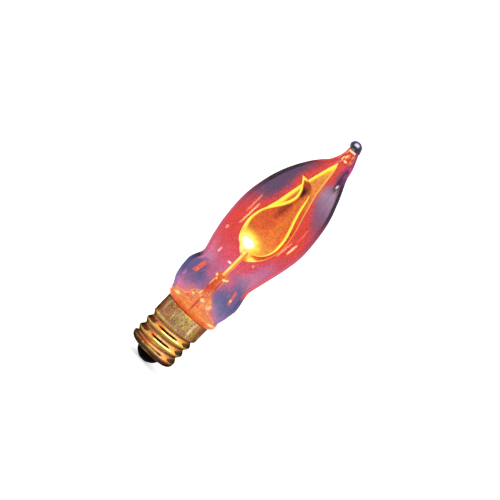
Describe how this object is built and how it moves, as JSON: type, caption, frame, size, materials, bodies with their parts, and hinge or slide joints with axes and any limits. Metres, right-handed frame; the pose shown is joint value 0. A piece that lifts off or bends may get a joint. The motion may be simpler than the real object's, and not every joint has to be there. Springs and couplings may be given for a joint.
{
  "type": "flame-shaped neon glow lamp",
  "caption": "Clear flame-shaped glow lamp with flame-shaped electrode plates on wires, a glass stem and a small brass screw base.",
  "frame": {"origin": "centre of the flat end of the centre contact, on the lamp axis", "axes": "+Z along the lamp axis from the contact to the glass tip, -Y the side that the front flame plate faces, +X the way the drawn glass tip bends"},
  "size_m": [0.0196, 0.0196, 0.0712],
  "materials": {
    "clear_glass": "clear blown glass, tinted by the glow inside",
    "stem_glass": "clear glass that carries the orange glow",
    "plate_metal": "thin plate covered with an orange glow",
    "nickel_wire": "drawn nickel wire",
    "seal_wire": "copper-clad seal wire",
    "copper_wire": "bare copper wire",
    "tinned_wire": "tinned wire",
    "solder": "dull dark solder",
    "resistor_body": "painted ceramic",
    "sleeve_plastic": "thin insulating tube",
    "cement": "dry basing cement",
    "shell_brass": "rolled brass with fine grain and slight tarnish",
    "eyelet_brass": "dull brass",
    "black_insulator": "glossy black vitreous insulator"
  },
  "bodies": {
    "root": {"glass_envelope": "clear_glass", "stem_flare": "stem_glass", "flame_plate_front": "plate_metal", "flame_plate_rear": "plate_metal", "support_wire_front": "nickel_wire", "support_wire_rear": "nickel_wire", "seal_wire_front": "seal_wire", "seal_wire_rear": "seal_wire", "centre_lead": "copper_wire", "side_lead": "copper_wire", "splice_solder": "solder", "ballast_resistor": "resistor_body", "resistor_lead_upper": "tinned_wire", "resistor_lead_lower": "tinned_wire", "insulating_sleeve": "sleeve_plastic", "basing_cement": "cement", "screw_shell": "shell_brass", "base_insulator": "black_insulator", "contact_eyelet": "eyelet_brass", "solder_centre": "solder", "side_solder": "solder"}
  },
  "joints": []
}
